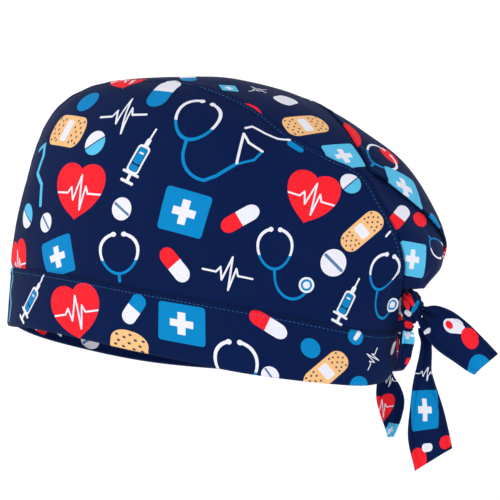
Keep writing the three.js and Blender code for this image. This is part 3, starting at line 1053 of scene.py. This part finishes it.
knotForm = {"centre": (5, 127.3, 31.5), "half": (5.6, 5.8, 8.8), "grooves": 5.6, "depth": 0.3, "lean": 0.7}
wrapForm = {"centre": (6.5, 123.6, 20.4), "half": (4.4, 4.6, 3.4), "grooves": 4.0, "depth": 0.26,
            "lean": -0.5}


def makeWrap(name, form, chart):
    bm = bmesh.new()
    bmesh.ops.create_uvsphere(bm, u_segments=96, v_segments=64, radius=1)
    layer = bm.loops.layers.uv.new("clothFlat")
    for vert in bm.verts:
        d = vert.co.normalized()
        swirl = form["grooves"] * (d.z + form["lean"] * d.y) + 1.6 * noise.noise(d * 1.4)
        folds = abs(math.sin(swirl)) ** 0.6 - 0.6
        swell = 1 + form["depth"] * folds + 0.06 * noise.noise(d * 3.0)
        vert.co = Vector([c + h * a * swell for c, h, a in zip(form["centre"], form["half"], d)]) * mm
    for face in bm.faces:
        for loop in face.loops:
            q = loop.vert.co
            loop[layer].uv = (-0.375 * q.x + 0.927 * q.y, q.z)
    bmesh.ops.recalc_face_normals(bm, faces=bm.faces)
    return finishMesh(name + "_cloth", bm, printCloth("printed cotton, " + name.replace("_", " "), chart))


# ---- stitches: small thread lengths along each stitched line

stitchForm = {"length": 1.7, "radius": 0.16, "pitch": 2.4}


def threadRun(bm, spots, normals):
    travelled = 0.0
    target = stitchForm["pitch"] / 2
    for (a, b), normal in zip(zip(spots, spots[1:]), normals):
        step = (b - a).length
        while step > 1e-6 and travelled + step >= target:
            middle = a.lerp(b, (target - travelled) / step)
            along = (b - a).normalized()
            side = normal.cross(along).normalized()
            up = along.cross(side)
            turn = Matrix((along, side, up)).transposed().to_4x4()
            place = Matrix.Translation(middle * mm) @ turn
            size = Matrix.Diagonal((stitchForm["length"] / 2 * mm, stitchForm["radius"] * mm,
                                    stitchForm["radius"] * mm, 1))
            bmesh.ops.create_uvsphere(bm, u_segments=6, v_segments=5, radius=1, matrix=place @ size)
            target += stitchForm["pitch"]
        travelled += step


# Follows place(t) over t from 0 to 1, lifted off the cloth along its own normal.
def stitchLine(bm, place, across, lift, steps):
    spots, normals = [], []
    for k in range(steps + 1):
        t = k / steps
        here = place(t)
        along = place(min(1, t + 0.001)) - place(max(0, t - 0.001))
        normal = along.cross(across(t) - here).normalized()
        spots.append(here + normal * lift)
        normals.append(normal)
    threadRun(bm, spots, normals)


def makeStitches():
    bm = bmesh.new()

    def bandRow(t):
        angle = round(mix(-bandEndAngle + 1, bandEndAngle - 1, t), 6)
        return bandSpot(angle, 1 - seamForm["stitchAway"] / (bandSpot(angle, 1) - bandSpot(angle, 0)).length)

    def bandUp(t):
        return bandSpot(round(mix(-bandEndAngle + 1, bandEndAngle - 1, t), 6), 1)

    stitchLine(bm, bandRow, bandUp, 0.55, 900)

    def sideRow(t, away=seamForm["stitchAway"]):
        row = round(mix(0.2, 14.6, t), 6)
        return sidePoint(row, 1 - away / sideFrame(row, 1)[4], 1)

    stitchLine(bm, lambda t: sideRow(1 - t), lambda t: sideRow(1 - t, seamForm["stitchAway"] + 1), 0.45, 700)

    def farRow(t, away=seamForm["stitchAway"]):
        row = round(mix(6.4, 10.9, t), 6)
        half = seamPoint(row, 1).x
        return crownPoint(row, rightEdge(row) - away / half)

    stitchLine(bm, farRow, lambda t: farRow(t, seamForm["stitchAway"] + 1), 0.5, 400)
    return finishMesh("top_stitching", bm, threadMaterial())


# ---- everything in one frame


def build():
    makeStage()
    makeLights()
    makeCamera()
    print("stage ready")
    left = makeLeftPanel()
    right = makeRightPanel()
    crown = makeCrown()
    pouch = makePouch()
    print("panels ready")
    band = makeBand()
    print("band ready")
    ties = [("tie_tail_out", tailOut, chartOut), ("tie_tail_down", tailDown, chartDown),
            ("tie_loop", loopShort, chartLoop), ("tie_tail_under", tailUnder, chartUnder)]
    made = [makeTie(*row) for row in ties]
    knot = makeWrap("tie_knot", knotForm, chartKnot)
    wrap = makeWrap("tie_wrap_lower", wrapForm, chartWrap)
    print("ties and knot ready")
    stitches = makeStitches()
    print("stitches ready")
    pieces = [(left, "side_panel_left"), (right, "side_panel_right"), (crown, "crown_panel"),
              (pouch, "back_pouch"), (band, "headband"), (knot, "tie_knot"), (wrap, "tie_wrap_lower")]
    pieces += [(piece, row[0]) for (piece, size), row in zip(made, ties)]
    for piece, node in pieces:
        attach(piece, "root")
        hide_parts(node)
    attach(stitches, "root")


build()
